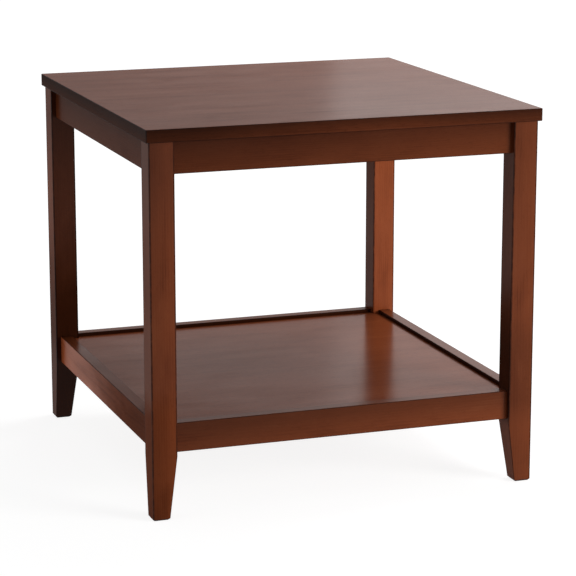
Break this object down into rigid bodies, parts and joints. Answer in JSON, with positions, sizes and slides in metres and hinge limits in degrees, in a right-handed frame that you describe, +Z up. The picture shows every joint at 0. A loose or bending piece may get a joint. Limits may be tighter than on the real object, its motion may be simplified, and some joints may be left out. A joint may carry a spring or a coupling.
{
  "type": "end table with shelf",
  "caption": "Square wooden end table: lipped top on tapered legs, aprons below it, and a shelf framed by low rails.",
  "frame": {"origin": "on the floor, under the middle of the top", "axes": "+Z up, +X to the right along the front, -Y out of the front"},
  "size_m": [0.61, 0.61, 0.575],
  "materials": {
    "top_board": "gloss stained veneer",
    "shelf_board": "gloss stained veneer",
    "stained_hardwood": "semi-gloss dark cherry stain",
    "bare_hardwood": "sealed, unstained",
    "dowel_wood": "bare beech",
    "zinc_steel": "zinc plated",
    "screw_steel": "yellow zinc plated"
  },
  "bodies": {
    "root": {"top_core": "top_board", "shelf_panel": "shelf_board", "top_lipping_front": "stained_hardwood", "top_lipping_back": "stained_hardwood", "top_lipping_left": "stained_hardwood", "top_lipping_right": "stained_hardwood", "apron_front": "stained_hardwood", "apron_back": "stained_hardwood", "apron_left": "stained_hardwood", "apron_right": "stained_hardwood", "lower_rail_front": "stained_hardwood", "lower_rail_back": "stained_hardwood", "lower_rail_left": "stained_hardwood", "lower_rail_right": "stained_hardwood", "leg_front_left": "stained_hardwood", "leg_front_right": "stained_hardwood", "leg_back_left": "stained_hardwood", "leg_back_right": "stained_hardwood", "shelf_cleat_front": "bare_hardwood", "shelf_cleat_back": "bare_hardwood", "shelf_cleat_left": "bare_hardwood", "shelf_cleat_right": "bare_hardwood", "corner_block_front_left": "bare_hardwood", "corner_block_front_right": "bare_hardwood", "corner_block_back_left": "bare_hardwood", "corner_block_back_right": "bare_hardwood", "apron_dowels": "dowel_wood", "rail_dowels": "dowel_wood", "hanger_bolts": "zinc_steel", "hanger_bolt_washers": "zinc_steel", "hanger_bolt_nuts": "zinc_steel", "corner_block_screws": "screw_steel", "top_screws": "screw_steel", "cleat_screws": "screw_steel", "shelf_screws": "screw_steel"}
  },
  "joints": []
}
